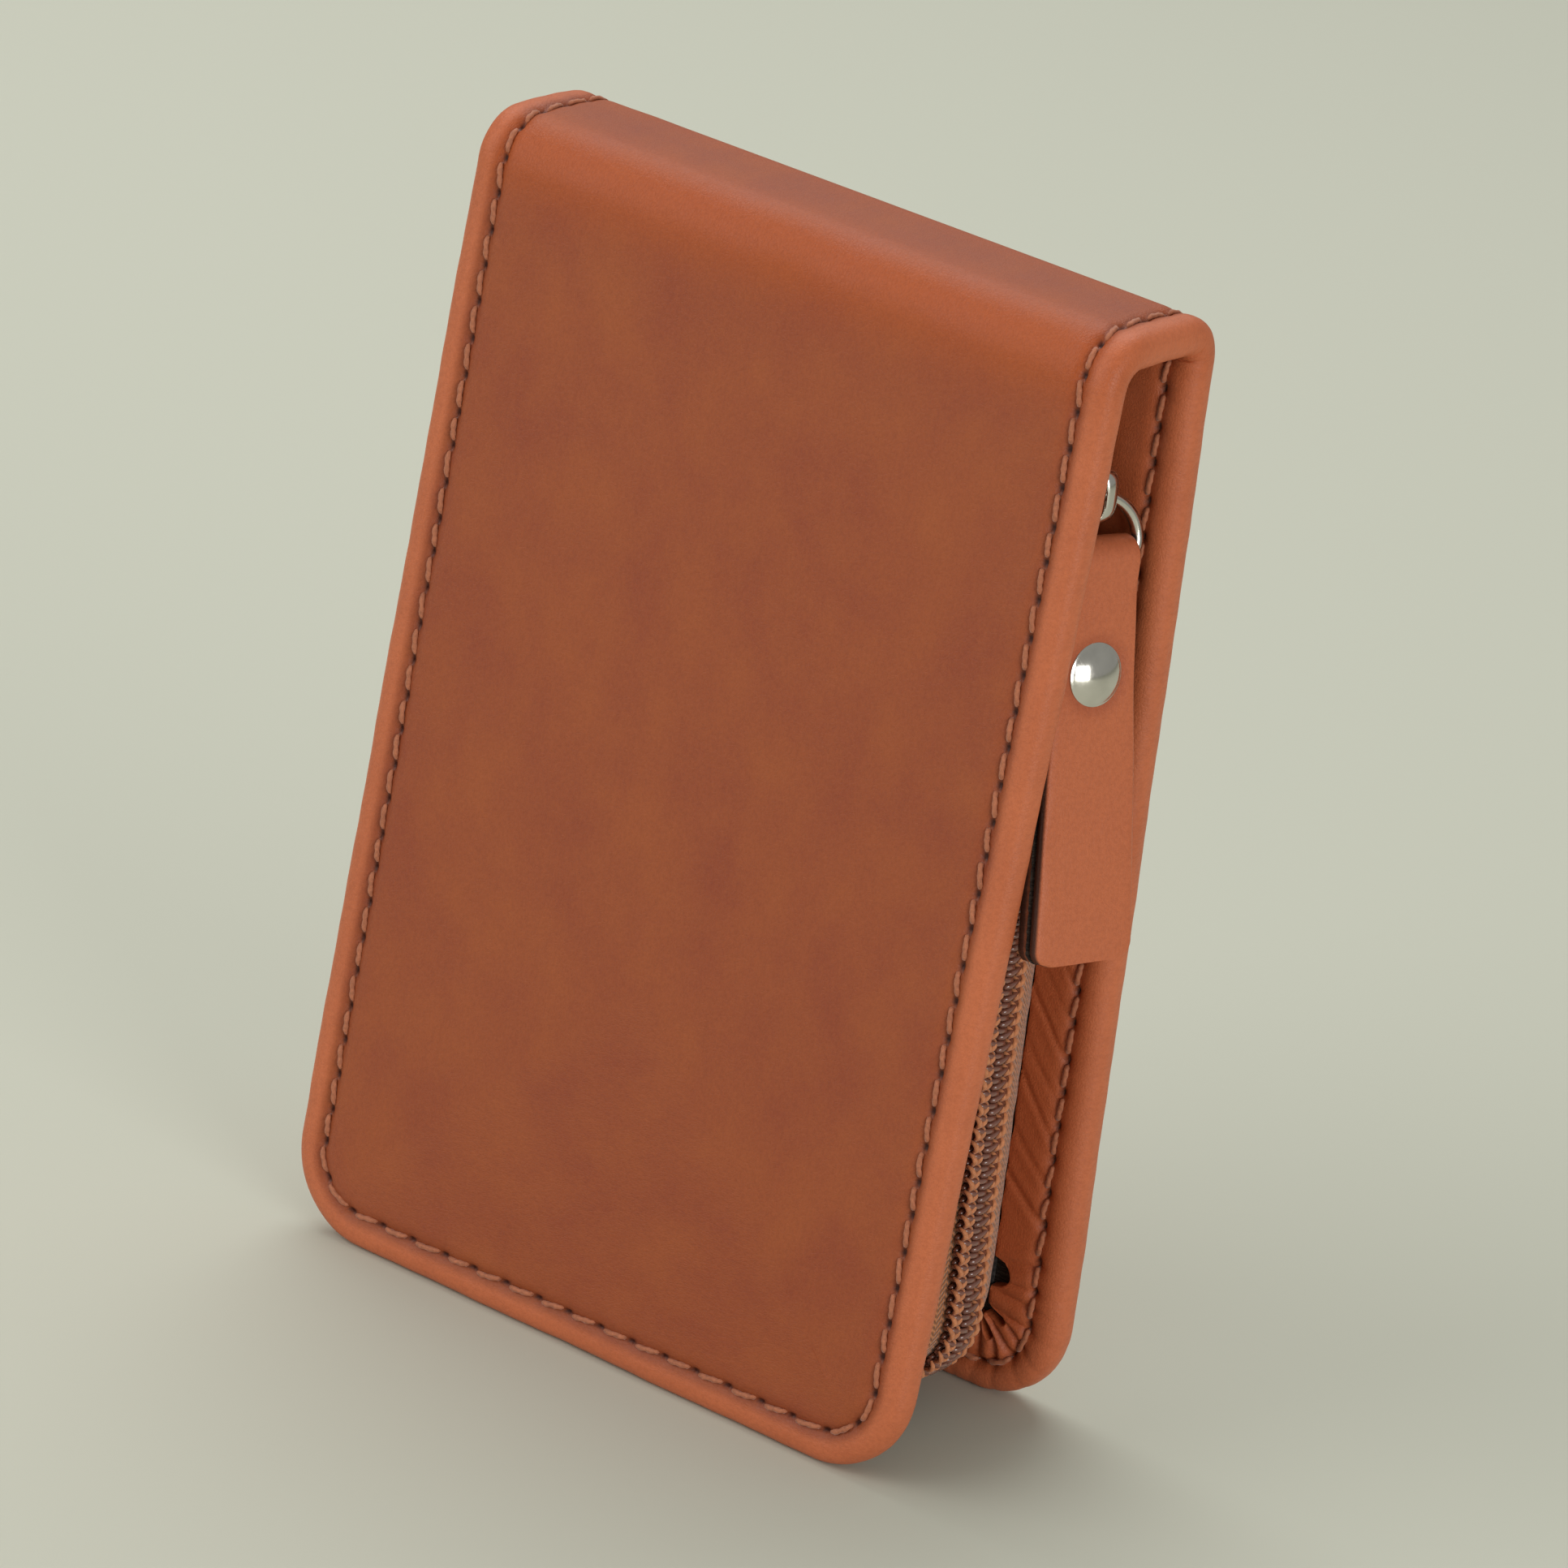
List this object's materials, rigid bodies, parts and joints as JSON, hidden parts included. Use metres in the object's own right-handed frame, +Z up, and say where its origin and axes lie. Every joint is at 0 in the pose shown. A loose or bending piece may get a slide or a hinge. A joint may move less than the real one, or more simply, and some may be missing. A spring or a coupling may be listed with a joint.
{
  "type": "leather zip case",
  "caption": "Slim zip-round leather case: a front cover, spine and back cover that fold open like a book, joined by a coil zip with a leather pull tab.",
  "frame": {"origin": "on the ground under the middle of the whole outline, the case standing on the rolled feet of its two covers", "axes": "+Z up from the feet to the spine, -Y towards the front cover, +X towards the side with the zip pull"},
  "size_m": [0.0782, 0.03, 0.112],
  "materials": {
    "hide": "mottled vegetable-tanned cowhide, waxed",
    "fibreboard": "black pressed fibreboard",
    "lining_cloth": "black brushed cloth",
    "seam_thread": "tan waxed polyester thread",
    "zip_tape": "orange-tan woven polyester tape",
    "zip_coil": "brown nylon monofilament",
    "nickel": "polished nickel plate",
    "tab_fibre": "black pressed fibre"
  },
  "bodies": {
    "back_cover": {"back_leather": "hide", "back_board": "fibreboard", "back_lining": "lining_cloth", "back_thread": "seam_thread", "back_tape": "zip_tape", "back_coil": "zip_coil", "back_stops": "nickel"},
    "spine": {"spine_leather": "hide", "spine_board": "fibreboard", "spine_lining": "lining_cloth", "spine_thread": "seam_thread"},
    "front_cover": {"front_leather": "hide", "front_board": "fibreboard", "front_lining": "lining_cloth", "front_thread": "seam_thread", "front_tape": "zip_tape", "front_coil": "zip_coil", "front_stops": "nickel"},
    "slider": {"slider_body": "nickel", "slider_bridge": "nickel"},
    "ring": {"d_ring": "nickel"},
    "tab": {"tab_strip": "hide", "tab_core": "tab_fibre", "rivet_cap": "nickel", "rivet_back": "nickel"}
  },
  "joints": [
    {"name": "spine_fold", "type": "hinge", "parent": "back_cover", "child": "spine", "pos_m": [0, 0.00638, 0.11068], "axis": [-1, 0, 0], "range_deg": [0, 90]},
    {"name": "front_fold", "type": "hinge", "parent": "spine", "child": "front_cover", "pos_m": [0, -0.00844, 0.11054], "axis": [-1, 0, 0], "range_deg": [0, 90]},
    {"name": "slider_run", "type": "slide", "parent": "back_cover", "child": "slider", "axis": [0.0569, 0, -0.9984], "range_m": [0, 0.07]},
    {"name": "ring_swing", "type": "hinge", "parent": "slider", "child": "ring", "pos_m": [0.02831, 0, 0.09455], "axis": [0, -1, 0], "range_deg": [-2, 60]},
    {"name": "tab_swing", "type": "hinge", "parent": "ring", "child": "tab", "pos_m": [0.02921, -0.00101, 0.08886], "axis": [-0.2924, -0.9563, 0], "range_deg": [-8, 70]}
  ]
}
